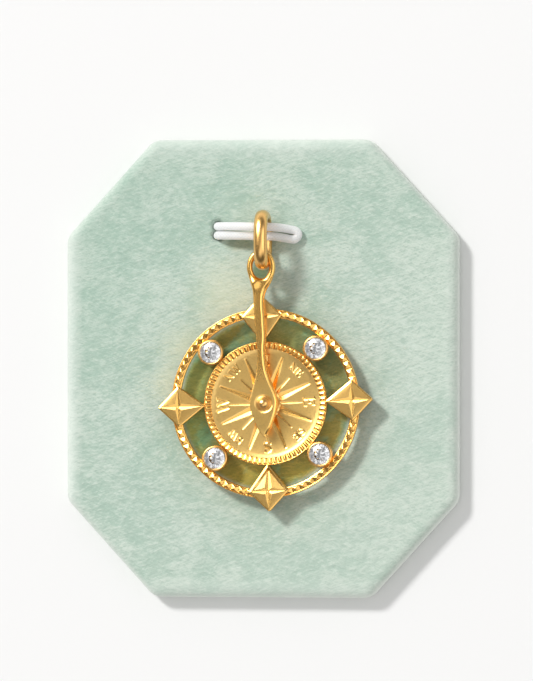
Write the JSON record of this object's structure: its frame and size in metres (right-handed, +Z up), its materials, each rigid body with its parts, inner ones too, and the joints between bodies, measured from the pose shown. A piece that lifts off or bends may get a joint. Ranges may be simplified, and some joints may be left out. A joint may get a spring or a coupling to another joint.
{
  "type": "compass pendant on a padded display card",
  "caption": "Gold compass pendant with stone-set bezels and a dial that turns under its needle, hung from an oval jump ring and held on a velvet display pad by an elastic loop.",
  "frame": {"origin": "middle of the pad's underside", "axes": "+Z up out of the pad's velvet face, +Y from the needle's tip towards the jump ring, +X to the right when the pendant is read"},
  "size_m": [0.0464, 0.0538, 0.0092],
  "materials": {
    "velvet": "mint green velvet with a short nap",
    "elastic": "white braided elastic",
    "satin_gold": "gold plate, satin faces and bright cut grooves",
    "polished_gold": "polished gold plate",
    "clear_stone": "clear faceted stone"
  },
  "bodies": {
    "card": {"display_pad": "velvet", "elastic_loop": "elastic", "bail_ring": "polished_gold", "needle": "satin_gold", "rivet": "polished_gold"},
    "dial": {"compass_dial": "satin_gold", "stone_ne": "clear_stone", "stone_se": "clear_stone", "stone_sw": "clear_stone", "stone_nw": "clear_stone"}
  },
  "joints": [
    {"name": "dial_spin", "type": "hinge", "parent": "card", "child": "dial", "pos_m": [0.0008, -0.00405, 0.00485], "axis": [0, 0, 1], "continuous": true}
  ]
}
